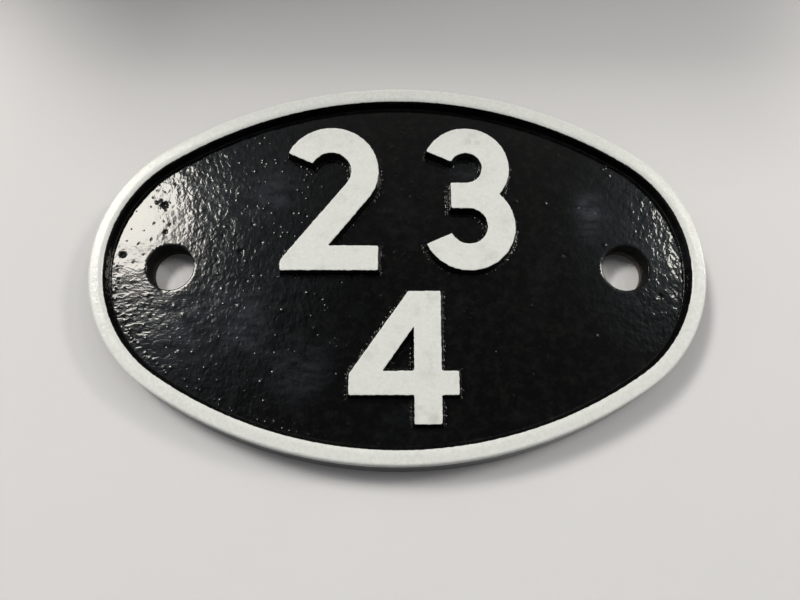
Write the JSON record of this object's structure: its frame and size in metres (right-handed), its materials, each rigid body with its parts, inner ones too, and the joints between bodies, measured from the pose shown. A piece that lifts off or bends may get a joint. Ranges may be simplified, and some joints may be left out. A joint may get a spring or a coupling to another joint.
{
  "type": "locomotive shed plate",
  "caption": "Oval cast-iron plate with a raised white border, raised plain numerals on a black field and a fixing hole at each end.",
  "frame": {"origin": "centre of the plate's flat back face", "axes": "+X along the plate's length, in reading direction; +Y up the plate; +Z out of its face"},
  "size_m": [0.1916, 0.1228, 0.0127],
  "materials": {
    "black_gloss_paint": "thick black gloss paint over rough cast iron",
    "white_gloss_paint": "white gloss paint on the raised faces of the casting"
  },
  "bodies": {
    "root": {"back_plate": "black_gloss_paint", "border_rim": "white_gloss_paint", "upper_left_numeral": "white_gloss_paint", "upper_right_numeral": "white_gloss_paint", "lower_numeral": "white_gloss_paint"}
  },
  "joints": []
}
